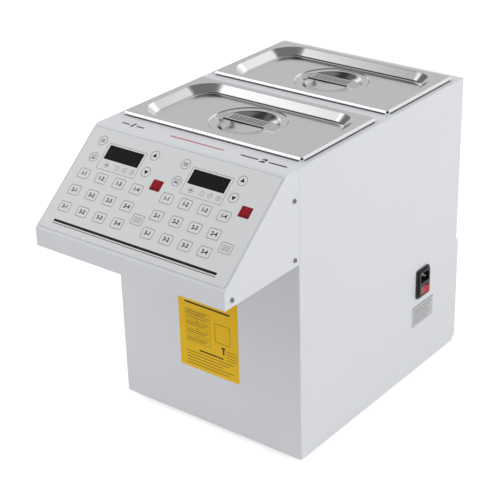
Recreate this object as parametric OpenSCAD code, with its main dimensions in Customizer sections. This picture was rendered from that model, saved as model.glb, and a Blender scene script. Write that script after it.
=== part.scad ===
// Twin syrup dispenser for a drinks counter: a sheet-metal cabinet with two lidded pans let into
// its deck, a slanted keypad hood at the front, and a pump, a hose and a nozzle for each pan.
// Millimetres. Z = 0 is the surface it stands on, +Y points to the back, and X = Y = 0 is the
// centre of the outer box.

/* [Cabinet] */
// Width across the side walls
cabinet_w = 342; // [338:1:360]
// Depth from the front wall to the back panel
cabinet_d = 435; // [430:1:460]
// Height from the bottom edge to the top of the deck
cabinet_h = 465; // [450:1:500]
// Thickness of the steel sheet
sheet = 1.2; // [1:0.1:1.5]
// Height of the down-turned edges of the deck
deck_flange = 15; // [10:1:20]
// Height of the up-turned edges of the base tray
tray_flange = 20; // [12:1:30]
// Width of the return flanges that hold the back panel
return_flange = 14; // [10:1:20]
// Height of the lower rear service cover
cover_h = 188; // [150:1:200]
// How far the service cover stands behind the back panel
cover_t = 8; // [5:0.5:10]
// Side margin between the service cover and the cabinet's edges
cover_margin = 1; // [0.5:0.5:8]
// Length of one vent slot in the service cover
vent_l = 62; // [40:1:80]
// Height of one vent slot
vent_h = 3.2; // [2:0.2:3.6]
// Distance between vent slots
vent_pitch = 11; // [9:1:14]
// Number of vent slots in a column
vent_rows = 7; // [3:1:9]

/* [Feet] */
// Height of the rubber feet
foot_h = 10; // [8:1:16]
// Diameter of a foot where it meets the counter
foot_d = 32; // [24:1:40]
// Distance from the cabinet's edges to the middle of a foot
foot_inset = 46; // [38:1:60]

/* [Hood] */
// Depth of the flat strip on top of the hood
strip_d = 25; // [20:1:35]
// How far the hood reaches in front of the cabinet
hood_reach = 163.5; // [150:0.5:180]
// Height of the hood from its underside to the deck
hood_h = 142; // [135:1:155]
// Height of the vertical lip below the keypad
lip_h = 27.5; // [22:0.5:35]
// Outer radius of the bends in the sheet
bend_r = 2.4; // [1.8:0.2:4]
// Height of the hood floor's side flanges
floor_flange = 20; // [18:1:26]
// Height of the lugs that carry the hood's upper screws, above the hood floor
lug_h = 112; // [105:1:116]

/* [Keypads] */
// Distance between the middles of the two keypads
panel_pitch = 154.5; // [150:0.5:158]
// Thickness of the printed overlay with its spacer
overlay_t = 1; // [0.8:0.1:1.4]
// Distance from the overlay to the fold at each side
overlay_side = 2; // [1.5:0.5:6]
// Distance from the overlay to the top and bottom folds
overlay_end = 4.5; // [4:0.5:6]
// Width of a square key
key_w = 20; // [18:0.5:22]
// Height of a square key
key_h = 15.8; // [14:0.2:18]
// Corner radius of a square key
key_r = 2.5; // [1.5:0.5:3.5]
// Diameter of a round key
round_key_d = 15.4; // [9:0.2:16]
// Width of the power key
power_key_w = 18; // [16:0.5:20]
// Height of the power key
power_key_h = 16.4; // [15:0.2:18]
// Corner radius of the power key
power_key_r = 0.8; // [0.4:0.1:2.5]
// Distance between key columns
key_pitch_x = 33.1; // [31:0.1:34]
// Distance between key rows
key_pitch_y = 27.8; // [26:0.1:29]
// Distance that a key travels
key_travel = 0.35; // [0.2:0.05:0.4]
// Gap round a key
key_gap = 0.15; // [0.1:0.05:0.3]
// Diameter of the stem under a key
key_stem_d = 5; // [4:0.5:6]
// Width of a display
display_w = 63.5; // [60:0.5:65]
// Height of a display
display_h = 22.5; // [20:0.5:24]

/* [Pans] */
// Width of a pan's flange
pan_w = 325; // [320:1:330]
// Depth of a pan's flange, front to back
pan_d = 184; // [178:1:188]
// Depth of a pan below the deck
pan_depth = 150; // [100:1:180]
// Thickness of the pan steel
pan_t = 0.8; // [0.6:0.1:1.2]
// Thickness of the pan's rolled flange
rim_t = 2.4; // [2:0.1:3]
// Width of the pan's flange at its short sides
rim_side = 12.5; // [11:0.5:14]
// Width of the pan's flange at its long sides
rim_long = 10; // [9:0.5:11]
// Corner radius of a pan's mouth
mouth_r = 45; // [35:1:50]
// How far the pan's walls lean in from mouth to bottom
pan_taper = 9; // [6:1:14]
// Radius between a pan's walls and its bottom
pan_bottom_r = 18; // [12:1:24]
// Distance from the front wall to the front pan
pan_front = 20.5; // [18:0.5:24]
// Distance between the two pans' middles
pan_pitch = 212; // [205:1:218]

/* [Lids] */
// Thickness of the lid steel
lid_t = 0.8; // [0.6:0.1:1]
// Height of a lid's down-turned edge
lid_lip = 3.5; // [3.5:0.1:4.5]
// Radius of a lid's rounded outer edge
lid_rim_r = 3; // [2.6:0.1:3.4]
// Radius of the top edge of a lid's recess
lid_edge_r = 1.4; // [1.2:0.1:2]
// Notch in the down-turned edge at each corner
lid_notch = 4.5; // [2.5:0.5:6]
// Width of the wall of a lid's recess, with its slope and its fillet
lid_slope = 17; // [12:1:20]
// Depth of a lid's recess
lid_recess = 11.5; // [9:0.5:13]
// Radius of the fillet at the foot of the recess's wall
lid_foot_r = 8; // [6:0.5:9]
// Radius of the round step in the middle of a lid
ring_r = 59; // [56:0.5:60]
// Depth of that step
ring_step = 1.4; // [1:0.1:2]
// Radius of the hand bowl inside the step
bowl_r = 47.5; // [44:0.5:49]
// Depth of the hand bowl
bowl_depth = 13; // [11:0.5:16]
// Width of the strap across the bowl
strap_w = 24; // [18:1:26]
// Thickness of the strap
strap_t = 1.2; // [1:0.1:1.6]
// How far the middle of the strap rises above its ends
strap_rise = 2.2; // [1.5:0.1:3]
// Height of the strap's turned-down long edges
strap_edge = 2.4; // [2:0.1:2.6]
// Number of grooves along the strap
strap_grooves = 4; // [2:1:5]

/* [Syrup path] */
// Outer diameter of the hoses
hose_od = 12; // [11:0.5:13]
// Bore of the hoses
hose_id = 8; // [7:0.5:8.5]
// Bend radius of the hoses
hose_bend = 17; // [15:1:20]
// Distance from the cabinet's front wall to the nozzles
nozzle_y = 85; // [70:1:95]
// Length of a nozzle below the hood
nozzle_l = 24; // [18:1:32]
// Outer diameter of a nozzle
nozzle_d = 18; // [15:1:20]
// Bore of a nozzle
nozzle_bore = 6; // [4:0.5:6.4]
// Width of a pump head
pump_w = 52; // [46:1:60]
// Height of a pump head
pump_h = 30; // [26:1:36]
// Height of the pump brackets
bracket_h = 92; // [85:1:110]
// Diameter of the pump motors
motor_d = 42; // [36:1:46]
// Length of the pump motors
motor_l = 62; // [50:1:70]

/* [Power] */
// Width of the mains inlet's flange
inlet_w = 36; // [34:0.5:40]
// Height of the mains inlet's flange
inlet_h = 50; // [48:0.5:54]
// How far the mains inlet stands out of the side wall
inlet_out = 6; // [5:0.5:8]
// Distance from the front wall to the middle of the inlet
inlet_y = 329; // [300:1:360]
// Height of the middle of the inlet above the cabinet's bottom edge
inlet_z = 156; // [120:1:240]
// Length of the rocker
rocker_l = 21; // [18:0.5:22]
// Width of the rocker
rocker_w = 13; // [11:0.5:14]
// Angle between the rocker's two faces and the mid plane
rocker_tilt = 8; // [6:1:10]
// Length of the power supply
supply_l = 150; // [120:1:160]
// Width of the power supply
supply_w = 80; // [60:1:90]
// Height of the power supply
supply_h = 38; // [30:1:45]

/* [Screws] */
// Head diameter of the pan-head screws
screw_head_d = 7; // [6:0.5:8]
// Head height of the pan-head screws
screw_head_h = 2.2; // [2:0.1:2.8]
// Shank diameter of the screws
screw_d = 4; // [3:0.5:4.5]
// Shank length of the screws
screw_l = 8; // [6:0.5:10]

/* [Hidden] */
$fn = 48;
EPS = 0.01;          // overlap of solids that are cut or joined
PLAY = 0.2;          // clearance of parts that slip together
half_w = cabinet_w / 2;
wall_top = cabinet_h - sheet;
inner_half = half_w - sheet;
way_w = cabinet_w - 92;                       // way through the front wall for hoses and wires
way_h = hood_h - 38;

// How far the rocker's raised end stands out of the side wall.
rocker_vee = 1;
rocker_axis = inlet_out - 1;
rocker_reach = rocker_axis + rocker_vee * cos(rocker_tilt) * cos(2 * rocker_tilt)
    + sqrt(pow(rocker_l / 2, 2) - pow(rocker_vee * cos(rocker_tilt), 2)) * sin(2 * rocker_tilt);

// The outer box: the hood's front to the service cover's back, the screw heads on the left and
// the rocker on the right.
front_y = hood_reach - (hood_reach + cabinet_d + cover_t) / 2;
middle_x = -(rocker_reach - screw_head_h) / 2;

// Side view of the hood, with y measured from the front wall and z from the bottom edge.
floor_z = cabinet_h - hood_h;
slant_y = hood_reach - strip_d;
slant_z = hood_h - lip_h;
face_angle = atan(slant_z / slant_y);
face_l = norm([slant_y, slant_z]);
hood_screws = [[-10.2, floor_z + lug_h - 13], [-10.2, floor_z + (floor_flange + 1) / 2],
    [14.5 - hood_reach, floor_z + (floor_flange + 1) / 2]];

// Keypad layout, from the middle of a keypad and down the slope from the upper fold.
key_first = [-64.2, 80.7];
auto_x = 63.2;
display_at = [-14.8, 39.2];
led_at = [[-35, 58.9], [-15, 58.9], [-1, 58.9], [12.8, 58.9]];
key_names = ["11", "12", "13", "14", "21", "22", "23", "24", "31", "32", "33", "34",
    "set", "save", "up", "down", "power", "auto"];
extra_keys = [[-64.1, 24.7], [-64.1, 52.4], [34.8, 25.2], [34.8, 52.2], [auto_x, 66.9], [auto_x, 122.5]];
GRID_KEYS = 12;
FIRST_ROUND = 12;
LAST_ROUND = 15;
sides = ["left", "right"];
key_floor = overlay_t - 0.5;                  // underside of a key's cap, above the steel face
stem_end = 2.8;                               // how far a stem reaches below the steel face
board_depth = 7.2;                            // from the steel face down to a board
board_t = 1.6;
switch_top = stem_end + key_travel + 0.1;     // where the switch under a stem starts
board_size = [140, 132];
board_mid_v = 80;

// Pans and lids.
mouth = [pan_w / 2 - rim_side, pan_d / 2 - rim_long];
cutout_gap = 2;
pan_y = [pan_front + pan_d / 2, pan_front + pan_d / 2 + pan_pitch];
flange_top = cabinet_h + rim_t;
lid_seat = 0.1;
lid_top = flange_top + lid_seat + lid_lip;
recess_clear = 1.5;
recess = [mouth[0] - recess_clear, mouth[1] - recess_clear];
recess_r = mouth_r - recess_clear;
lid_floor = lid_top - lid_recess;
ledge_z = lid_floor - ring_step;
wall_radii = lid_edge_r + lid_foot_r;
wall_straight = sqrt(pow(lid_slope, 2) + pow(lid_recess - wall_radii, 2) - pow(wall_radii, 2));
wall_angle = atan2(lid_recess - wall_radii, lid_slope) + atan2(wall_radii, wall_straight);
strap_l = ring_r + bowl_r + 2;
strap_pad = (strap_l - 2 * bowl_r) / 2 + 5;

// Syrup path.
spout_l = 30;
spout_top = cabinet_h - pan_depth;
nozzle_x = [-panel_pitch / 2, panel_pitch / 2];
barb_d = hose_id - 0.3;
riser_y = sheet + hose_od / 2 + 6;
cross_z = floor_z + sheet + 34;
nut_top = floor_z + sheet + 9;
pump_port_z = bracket_h + sheet + pump_h / 2;
pump_top = bracket_h + sheet + pump_h;

function arc(c, r, from, to, steps) =
    [for (i = [0 : steps]) let (t = from + (to - from) * i / steps) c + r * [cos(t), sin(t)]];

// A closed outline with each corner rounded by its own radius; corners run anticlockwise.
function rounded_corner(before, corner, after, r) =
    let (u = (before - corner) / norm(before - corner))
    let (v = (after - corner) / norm(after - corner))
    let (half = acos(u * v) / 2)
    let (middle = (u + v) / norm(u + v))
    let (c = corner + middle * r / sin(half))
    let (a = corner + u * r / tan(half) - c)
    let (b = corner + v * r / tan(half) - c)
    let (from = atan2(a[1], a[0]))
    let (turn = atan2(a[0] * b[1] - a[1] * b[0], a * b))
    r == 0 ? [corner] : arc(c, r, from, from + turn, 6);

module rounded_polygon(corners, radii) {
    n = len(corners);
    polygon([for (i = [0 : n - 1])
        each rounded_corner(corners[(i + n - 1) % n], corners[i], corners[(i + 1) % n], radii[i])]);
}

module rounded_rect(size, r) {
    square([size[0] - 2 * r, size[1]], center = true);
    square([size[0], size[1] - 2 * r], center = true);
    for (sx = [-1, 1], sy = [-1, 1])
        translate([sx * (size[0] / 2 - r), sy * (size[1] / 2 - r)]) circle(r);
}

module rounded_plate(size, r, h) {
    linear_extrude(h) rounded_rect(size, r);
}

// One ring of a loft: a rounded rectangle of half sizes hx and hy at the height z.
function ring(hx, hy, r, z) =
    [for (q = [0 : 3]) for (p = arc([q % 3 == 0 ? hx - r : r - hx, q < 2 ? hy - r : r - hy], r,
        90 * q, 90 * q + 90, 8)) [p[0], p[1], z]];

// A closed solid through rings that rise from the first to the last.
module loft(rings) {
    n = len(rings[0]);
    m = len(rings);
    polyhedron(
        points = [for (r = rings) each r],
        faces = concat(
            [[for (i = [0 : n - 1]) i]],
            [[for (i = [n - 1 : -1 : 0]) (m - 1) * n + i]],
            [for (j = [0 : m - 2]) for (i = [0 : n - 1]) let (k = (i + 1) % n)
                each [[j * n + i, (j + 1) * n + i, (j + 1) * n + k], [j * n + i, (j + 1) * n + k, j * n + k]]]));
}

// Cabinet axes: y from the front wall, z from the cabinet's bottom edge.
module at_cabinet() {
    translate([middle_x, front_y, foot_h]) children();
}

// Keypad face: x across, y up the slope (so -y runs down it), z out of the steel.
module on_face() {
    at_cabinet() translate([0, -strip_d, cabinet_h]) rotate([face_angle, 0, 0]) children();
}

module cabinet_shell() {
    // The return flanges start inside the side walls' sheet, so that they stay one piece with them.
    flange_w = return_flange + sheet / 2;
    color("gainsboro") at_cabinet() difference() {
        linear_extrude(wall_top) difference() {
            rounded_polygon([[-half_w, cabinet_d], [-half_w, 0], [half_w, 0], [half_w, cabinet_d]],
                [0, bend_r, bend_r, 0]);
            rounded_polygon([[-inner_half, cabinet_d], [-inner_half, sheet], [inner_half, sheet],
                [inner_half, cabinet_d]], [0, bend_r - sheet, bend_r - sheet, 0]);
            translate([-inner_half, cabinet_d - EPS]) square([2 * inner_half, 1]);
        }
        // Way through behind the hood for the hoses and wires.
        translate([0, sheet / 2, floor_z + hood_h / 2 - 4]) cube([way_w, 3 * sheet, way_h], center = true);
        translate([half_w, inlet_y, inlet_z]) rotate([0, 90, 0])
            cube([inlet_h - 6, inlet_w - 6, 3 * sheet], center = true);
    }
    color("gainsboro") at_cabinet() difference() {
        for (side = [-1, 1])
            translate([side * (half_w - flange_w / 2 - sheet / 2), cabinet_d - 1.5 * sheet, wall_top / 2])
                cube([flange_w, sheet, wall_top], center = true);
        rear_screw_holes();
    }
}

module top_deck() {
    inset = 0.2;
    flange_box = [2 * (inner_half - inset), cabinet_d - 2.5 * sheet - 2 * inset - sheet];
    mid = [0, sheet + inset + flange_box[1] / 2];
    color("gainsboro") at_cabinet() difference() {
        union() {
            translate([0, cabinet_d / 2, wall_top])
                linear_extrude(sheet) square([cabinet_w, cabinet_d], center = true);
            translate([0, mid[1], wall_top - deck_flange]) linear_extrude(deck_flange) difference() {
                square(flange_box, center = true);
                square([flange_box[0] - 2 * sheet, flange_box[1] - 2 * sheet], center = true);
            }
        }
        for (y = pan_y) translate([0, y, wall_top - 1])
            rounded_plate([2 * (mouth[0] + pan_t + cutout_gap), 2 * (mouth[1] + pan_t + cutout_gap)],
                mouth_r + cutout_gap, sheet + 2);
    }
}

module base_tray() {
    size = [2 * inner_half - 2 * PLAY, cabinet_d - 3.5 * sheet - PLAY];
    color("silver") at_cabinet() difference() {
        translate([0, sheet + PLAY + size[1] / 2, 0]) difference() {
            linear_extrude(tray_flange) square(size, center = true);
            translate([0, 0, sheet]) linear_extrude(tray_flange)
                square([size[0] - 2 * sheet, size[1] - 2 * sheet], center = true);
        }
        for (at = foot_places()) translate([at[0], at[1], -1]) cylinder(h = 4, d = screw_d + 2 * PLAY);
        rear_screw_holes();
    }
}

function foot_places() = [for (x = [-half_w + foot_inset, half_w - foot_inset])
    for (y = [foot_inset, cabinet_d - foot_inset]) [x, y]];

module back_panel() {
    size = [2 * inner_half - 2 * PLAY, wall_top];
    opening = [size[0] - 2 * return_flange - 24, cover_h - 52];
    color("gainsboro") at_cabinet() difference() {
        translate([0, cabinet_d - sheet / 2, size[1] / 2]) cube([size[0], sheet, size[1]], center = true);
        translate([0, cabinet_d, cover_h / 2]) cube([opening[0], 4 * sheet, opening[1]], center = true);
        rear_screw_holes();
    }
}

// Places of the rear screws in x and z: the upper ones hold the back panel, the lower ones the cover.
function rear_screws() = concat(
    [for (x = [-1, 1]) for (z = [cover_h + 30, wall_top - deck_flange - 25])
        [x * (inner_half - return_flange / 2 - PLAY), z]],
    [for (x = [-1, 0, 1]) for (z = [13, cover_h - 13]) [x * (inner_half - return_flange - 22), z]]);

// The rear screws' holes through the back panel and the sheets in front of it.
module rear_screw_holes() {
    for (at = rear_screws()) translate([at[0], cabinet_d + 1, at[1]]) rotate([90, 0, 0])
        cylinder(h = 6, d = screw_d + 2 * PLAY);
}

module service_cover() {
    w = cabinet_w - 2 * cover_margin;
    color("gainsboro") at_cabinet() difference() {
        translate([0, cabinet_d, cover_h / 2]) rotate([-90, 0, 0]) difference() {
            rounded_plate([w, cover_h - 4], 4, cover_t);
            translate([0, 0, -EPS]) difference() {
                rounded_plate([w - 2 * sheet, cover_h - 4 - 2 * sheet], 3, cover_t - sheet);
                // Pressed pads round the screws rest on the back panel.
                for (at = rear_screws()) if (at[1] < cover_h)
                    translate([at[0], cover_h / 2 - at[1], -1]) cylinder(h = cover_t + 2, d = 14);
            }
        }
        for (at = rear_screws()) translate([at[0], cabinet_d + cover_t + 1, at[1]]) rotate([90, 0, 0])
            cylinder(h = cover_t + 2, d = screw_d + 2 * PLAY);
        for (at = rear_screws()) translate([at[0], cabinet_d + cover_t + 1, at[1]]) rotate([90, 0, 0])
            cylinder(h = 1 + cover_t - sheet, d = screw_head_d + 2);
        for (column = [-1, 1], row = [0 : vent_rows - 1])
            translate([column * 68, cabinet_d, cover_h / 2 + (row - (vent_rows - 1) / 2) * vent_pitch])
                rotate([-90, 0, 0]) rounded_plate([vent_l, vent_h], vent_h / 2 - 0.1, 2 * cover_t);
    }
}

// The hood's side outline, drawn with y to the left and then stood up.
module hood_outline(t, r) {
    top = cabinet_h - t;
    upper = [-strip_d + t * tan(face_angle / 2), top];
    lower = [-hood_reach + t, cabinet_h - slant_z - t * tan(45 - face_angle / 2)];
    rounded_polygon([[0, top], upper, lower, [-hood_reach + t, floor_z], [0, floor_z]], [0, r, r, 0, 0]);
}

module side_prism(w) {
    translate([-w / 2, 0, 0]) rotate([90, 0, 90]) linear_extrude(w) children();
}

module hood_shell() {
    color("gainsboro") difference() {
        at_cabinet() difference() {
            side_prism(cabinet_w) hood_outline(0, bend_r);
            side_prism(2 * inner_half) union() {
                hood_outline(sheet, bend_r - sheet);
                translate([-hood_reach + sheet, floor_z - 1]) square([hood_reach - sheet, 2]);
                translate([-1, floor_z - 1]) square([2, hood_h - sheet + 1]);
            }
            for (at = hood_screws) translate([0, at[0], at[1]]) rotate([0, 90, 0])
                cylinder(h = cabinet_w + 4, d = screw_d + 2 * PLAY, center = true);
        }
        on_face() for (x = nozzle_x) {
            for (i = [0 : len(key_names) - 1]) translate([x + key_at(i)[0], -key_at(i)[1], -sheet - 1])
                cylinder(h = sheet + 2, d = key_stem_d + 3);
            translate([x + display_at[0], -display_at[1], -sheet - 1])
                linear_extrude(sheet + 2) square([display_w - 4, display_h - 4], center = true);
        }
    }
}

module hood_floor() {
    w = 2 * inner_half - 2 * PLAY;
    d = hood_reach - sheet - PLAY;
    lug_d = 22;
    color("gainsboro") at_cabinet() difference() {
        union() {
            translate([-w / 2, -d, floor_z]) cube([w, d, sheet]);
            translate([-w / 2, -d, floor_z]) cube([w, sheet, floor_flange - 4]);
            for (side = [-1, 1]) translate([side * (w / 2 - sheet / 2), 0, floor_z]) {
                translate([-sheet / 2, -d, 0]) cube([sheet, d, floor_flange]);
                translate([-sheet / 2, -lug_d, 0]) cube([sheet, lug_d, lug_h]);
                translate([side < 0 ? -sheet / 2 : sheet / 2 - 14, -sheet, 0]) cube([14, sheet, lug_h]);
            }
        }
        for (x = nozzle_x) translate([x, -nozzle_y, floor_z - 1])
            cylinder(h = sheet + 2, d = nozzle_d + 2 * PLAY);
        for (at = hood_screws) translate([0, at[0], at[1]]) rotate([0, 90, 0])
            cylinder(h = cabinet_w, d = screw_d + 2 * PLAY, center = true);
    }
}

// Place of key i: the grid keys row by row, then the others.
function key_at(i) = i < GRID_KEYS
    ? [key_first[0] + (i % 4) * key_pitch_x, key_first[1] + floor(i / 4) * key_pitch_y]
    : extra_keys[i - GRID_KEYS];

module key_outline(i, grow) {
    if (i >= FIRST_ROUND && i <= LAST_ROUND)
        circle(d = round_key_d + 2 * grow);
    else if (key_names[i] == "power")
        rounded_rect([power_key_w + 2 * grow, power_key_h + 2 * grow], power_key_r + grow);
    else
        rounded_rect([key_w + 2 * grow, key_h + 2 * grow], key_r + grow);
}

module control_overlay() {
    size = [cabinet_w - 2 * overlay_side, face_l - 2 * overlay_end];
    color("whitesmoke") on_face() linear_extrude(overlay_t) difference() {
        translate([0, -face_l / 2]) rounded_rect(size, 4);
        for (x = nozzle_x) {
            for (i = [0 : len(key_names) - 1])
                translate([x + key_at(i)[0], -key_at(i)[1]]) key_outline(i, key_gap);
            translate([x + display_at[0], -display_at[1]])
                square([display_w + 2 * key_gap, display_h + 2 * key_gap], center = true);
        }
    }
}

module display_windows() {
    color("black") on_face() for (x = nozzle_x)
        translate([x + display_at[0], -display_at[1], 0])
            linear_extrude(overlay_t) square([display_w, display_h], center = true);
}

// A key: the cap lies flush in the overlay, and its stem reaches down to the switch.
module panel_key(side, i) {
    at = key_at(i);
    paint = key_names[i] == "power" ? "firebrick" : "white";
    color(paint) on_face() translate([nozzle_x[side] + at[0], -at[1], 0]) {
        translate([0, 0, key_floor]) linear_extrude(overlay_t - key_floor) key_outline(i, 0);
        translate([0, 0, -stem_end]) cylinder(h = stem_end + key_floor + EPS, d = key_stem_d);
    }
}

module control_boards() {
    switch_h = board_depth - switch_top - 0.6;
    posts = [[-66, 62], [66, 62], [-66, -62], [66, -62]];
    color("darkgreen") on_face() for (x = nozzle_x) translate([x, 0, -board_depth]) {
        translate([-board_size[0] / 2, -board_mid_v - board_size[1] / 2, -board_t])
            cube([board_size[0], board_size[1], board_t]);
        for (i = [0 : len(key_names) - 1]) translate([key_at(i)[0], -key_at(i)[1], 0]) {
            translate([-3, -3, 0]) cube([6, 6, switch_h]);
            cylinder(h = board_depth - switch_top, d = 3.4);
        }
        for (p = posts) translate([p[0], -board_mid_v + p[1], 0])
            cylinder(h = board_depth - sheet, d = 5);
        for (p = led_at) translate([p[0], -p[1], 0]) cylinder(h = board_depth - sheet - 1, d = 3);
        translate([display_at[0] - display_w / 2 + 4, -display_at[1] - display_h / 2 + 4, 0])
            cube([display_w - 8, display_h - 8, board_depth - 0.3]);
        translate([-20, -board_mid_v - 40, -board_t - 9]) cube([40, 10, 9]);
        translate([-50, -board_mid_v + 10, -board_t - 3]) cube([18, 18, 3]);
    }
}

// Rings of a pan from its bottom up, drawn in by 'inset' for the inner surface.
function pan_rings(inset, bottom, top) =
    let (lean = pan_taper / pan_depth)
    concat(
        [for (k = [0 : 4]) let (t = 90 * k / 4, rb = pan_bottom_r,
            z = bottom + rb * (1 - cos(t)), s = inset + (top - z) * lean + rb * (1 - sin(t)))
            ring(mouth[0] - s, mouth[1] - s, mouth_r - s, z)],
        [ring(mouth[0] - inset, mouth[1] - inset, mouth_r - inset, top)]);

module pan(y, outlet_x) {
    bottom = cabinet_h - pan_depth;
    color("silver") at_cabinet() translate([0, y, 0]) difference() {
        union() {
            difference() {
                translate([0, 0, cabinet_h]) rounded_plate([pan_w, pan_d], 9, rim_t);
                translate([0, 0, cabinet_h - EPS])
                    rounded_plate([pan_w - 4, pan_d - 4], 7, rim_t - pan_t);
            }
            loft(pan_rings(-pan_t, bottom - pan_t, flange_top));
            translate([outlet_x, 0, bottom - spout_l]) cylinder(h = spout_l, d = barb_d);
        }
        loft(pan_rings(0, bottom, flange_top + EPS));
        translate([outlet_x, 0, bottom - spout_l - 1]) cylinder(h = spout_l + 3, d = barb_d - 2.4);
    }
}

module front_pan() {
    pan(pan_y[0], nozzle_x[0]);
}

module rear_pan() {
    pan(pan_y[1], nozzle_x[1]);
}

// Rings of a lid's recess from its floor up, grown by 'grow' for its underside.
function recess_rings(grow, top) = concat(
    [for (k = [0 : 4]) let (t = wall_angle * k / 4, r = lid_foot_r + grow)
        recess_ring(lid_slope - r * sin(t), lid_floor + lid_foot_r - r * cos(t))],
    [for (k = [3 : -1 : 0]) let (t = wall_angle * k / 3, r = lid_edge_r - grow)
        recess_ring(r * sin(t), lid_top - lid_edge_r + r * cos(t))],
    [recess_ring(0, top)]);

function recess_ring(inset, z) = ring(recess[0] - inset, recess[1] - inset, recess_r - inset, z);

// Rings of a plate with a rounded top edge, from its bottom up.
function rim_rings(half, corner, edge, bottom, top) = concat(
    [ring(half[0], half[1], corner, bottom)],
    [for (k = [0 : 5]) let (t = 90 * k / 5, in = edge * (1 - cos(t)))
        ring(half[0] - in, half[1] - in, corner - in, top - edge * (1 - sin(t)))]);

module lid(y) {
    edge = lid_rim_r;
    hem = lid_t + 0.3;
    outer = [pan_w / 2, pan_d / 2];
    color("silver") at_cabinet() translate([0, y, 0]) difference() {
        union() {
            difference() {
                loft(rim_rings(outer, 4, edge, lid_top - lid_lip, lid_top));
                loft(rim_rings([outer[0] - hem, outer[1] - hem], 4 - hem, edge - hem,
                    lid_top - lid_lip - 1, lid_top - lid_t));
                for (sx = [-1, 1], sy = [-1, 1])
                    translate([sx * outer[0], sy * outer[1], lid_top - lid_lip - 1])
                        cylinder(h = lid_lip + 1 - 1.5 * lid_t, r = lid_notch);
            }
            loft(recess_rings(lid_t, lid_top - EPS));
            translate([0, 0, lid_floor]) rotate_extrude() bowl_profile(lid_t, 0);
        }
        loft(recess_rings(0, lid_top + EPS));
        translate([0, 0, lid_floor]) rotate_extrude() bowl_profile(0, 1);
    }
}

// Half section of the hand bowl and the round step above it, from the lid's floor down.
module bowl_profile(grow, above) {
    sphere_r = (bowl_r * bowl_r + bowl_depth * bowl_depth) / (2 * bowl_depth);
    intersection() {
        translate([0, sphere_r - ring_step - bowl_depth]) circle(sphere_r + grow, $fn = 160);
        translate([0, -ring_step - bowl_depth - grow]) square([bowl_r + grow, bowl_depth + ring_step + grow + above]);
    }
    polygon([[0, above], [0, -ring_step - grow], [ring_r - 2 + grow, -ring_step - grow],
        [ring_r + grow, 0], [ring_r + grow, above]]);
}

module front_lid() {
    lid(pan_y[0]);
}

module rear_lid() {
    lid(pan_y[1]);
}

// The strap across the hand bowl, seen from the side: flat ends on the step, a raised middle.
module strap(y) {
    rise_l = 6;
    a = strap_l / 2;
    b = a - strap_pad;
    c = b - rise_l;
    h = strap_rise;
    t = strap_t;
    color("silver") at_cabinet() translate([0, y, ledge_z]) difference() {
        union() {
            translate([0, strap_w / 2, 0]) rotate([90, 0, 0]) linear_extrude(strap_w)
                polygon([[-a, 0], [-b, 0], [-c, h], [c, h], [b, 0], [a, 0], [a, t], [b, t], [c, h + t],
                    [-c, h + t], [-b, t], [-a, t]]);
            // The long edges are turned down along the raised middle.
            for (side = [-1, 1]) translate([0, side * (strap_w - t) / 2, h + t - strap_edge / 2])
                cube([2 * c, t, strap_edge], center = true);
        }
        for (i = [0 : strap_grooves - 1])
            translate([0, (i - (strap_grooves - 1) / 2) * strap_w / (strap_grooves + 1.5), h + t])
                rounded_cut(2 * c - 8, 2, 0.6);
    }
}

module rounded_cut(l, w, depth) {
    translate([0, 0, -depth]) rounded_plate([l, w], w / 2 - 0.05, 2 * depth);
}

module front_lid_handle() {
    strap(pan_y[0]);
}

module rear_lid_handle() {
    strap(pan_y[1]);
}

module pump_unit() {
    leg = 30;
    color("dimgray") {
        // Bracket: a bridge of sheet with its feet on the base tray.
        for (side = [-1, 1]) translate([side * (pump_w / 2 - sheet / 2), 0, sheet]) {
            translate([-sheet / 2, -leg, 0]) cube([sheet, 2 * leg, bracket_h]);
            translate([side < 0 ? -sheet / 2 - 12 : -sheet / 2, -leg, 0]) cube([12 + sheet, 2 * leg, sheet]);
        }
        difference() {
            translate([-pump_w / 2, -leg, bracket_h]) cube([pump_w, 2 * leg, sheet]);
            translate([0, 0, bracket_h - 1]) cylinder(h = sheet + 2, d = 14);
        }
        translate([0, 0, bracket_h - motor_l]) cylinder(h = motor_l, d = motor_d);
        translate([0, 0, bracket_h - motor_l - 6]) cylinder(h = 6 + EPS, d = motor_d * 0.4);
        difference() {
            union() {
                translate([-pump_w / 2 + 2, -pump_w / 2 + 2, bracket_h + sheet])
                    rounded_box(pump_w - 4, pump_h);
                translate([0, 0, pump_top - EPS]) cylinder(h = 18, d = barb_d);
                translate([0, -pump_w / 2 + 3, pump_port_z]) rotate([90, 0, 0]) cylinder(h = 18, d = barb_d);
            }
            translate([0, 0, pump_top - 8]) cylinder(h = 30, d = barb_d - 2.4);
            translate([0, -pump_w / 2 + 10, pump_port_z]) rotate([90, 0, 0]) cylinder(h = 30, d = barb_d - 2.4);
        }
        translate([0, 0, bracket_h - EPS]) cylinder(h = sheet + 2 * EPS, d = 13);
    }
}

module rounded_box(w, h) {
    translate([w / 2, w / 2, 0]) rounded_plate([w, w], 5, h);
}

module pump_units() {
    at_cabinet() for (i = [0, 1]) translate([nozzle_x[i], pan_y[i], 0]) pump_unit();
}

module tube(l) {
    difference() {
        cylinder(h = l, d = hose_od);
        translate([0, 0, -1]) cylinder(h = l + 2, d = hose_id);
    }
}

module elbow() {
    rotate_extrude(angle = 90) translate([hose_bend, 0]) difference() {
        circle(d = hose_od);
        circle(d = hose_id);
    }
}

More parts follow.
